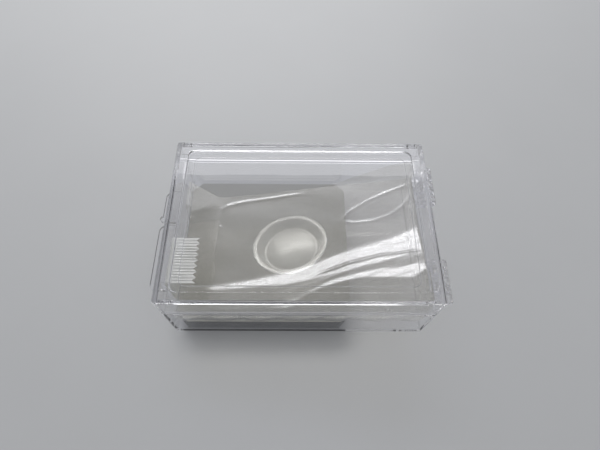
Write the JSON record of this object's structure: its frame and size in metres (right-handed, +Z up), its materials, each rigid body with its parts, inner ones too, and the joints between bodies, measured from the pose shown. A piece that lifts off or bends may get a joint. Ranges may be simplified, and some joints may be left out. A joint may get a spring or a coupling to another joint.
{
  "type": "boxed hemocytometer",
  "caption": "Clear hinged case holding a glass cell-counting chamber and cover glasses in a foam bed, under a grey board, with a film pouch and clear dish on top.",
  "frame": {"origin": "centre of the case's footprint on its underside, tabs and hinge included", "axes": "+X from the finger tabs to the hinge, +Y from front to back, +Z up out of the case"},
  "size_m": [0.135, 0.082, 0.042],
  "materials": {
    "clear_case": "clear moulded polystyrene",
    "dark_foam": "fine closed-cell foam",
    "optical_glass": "polished optical glass",
    "grey_board": "satin grey sheet",
    "clear_dish": "clear thermoformed plastic",
    "clear_film": "glossy crumpled film"
  },
  "bodies": {
    "base": {"case_base": "clear_case", "foam_bed": "dark_foam"},
    "lid": {"case_lid": "clear_case"},
    "board": {"cover_board": "grey_board"},
    "pouch": {"pouch_film": "clear_film", "pouch_end_seal": "clear_film", "sample_dish": "clear_dish"},
    "chamber": {"counting_chamber": "optical_glass"},
    "cover_glass": {"cover_glass": "optical_glass"},
    "spare_cover_glass": {"spare_cover_glass": "optical_glass"}
  },
  "joints": [
    {"name": "lid_hinge", "type": "hinge", "parent": "base", "child": "lid", "pos_m": [0.0645, 0, 0.0268], "axis": [0, 1, 0], "range_deg": [0, 180]},
    {"name": "board_slide", "type": "slide", "parent": "base", "child": "board", "axis": [1, 0, 0], "range_m": [0, 0.033]},
    {"name": "pouch_lift", "type": "slide", "parent": "base", "child": "pouch", "axis": [0, 0, 1], "range_m": [0, 0.0006]},
    {"name": "chamber_lift", "type": "slide", "parent": "base", "child": "chamber", "axis": [0, 0, 1], "range_m": [0, 0.0006]},
    {"name": "cover_glass_lift", "type": "slide", "parent": "chamber", "child": "cover_glass", "axis": [0, 0, 1], "range_m": [0, 0.0004]},
    {"name": "spare_glass_lift", "type": "slide", "parent": "base", "child": "spare_cover_glass", "axis": [0, 0, 1], "range_m": [0, 0.0016]}
  ]
}
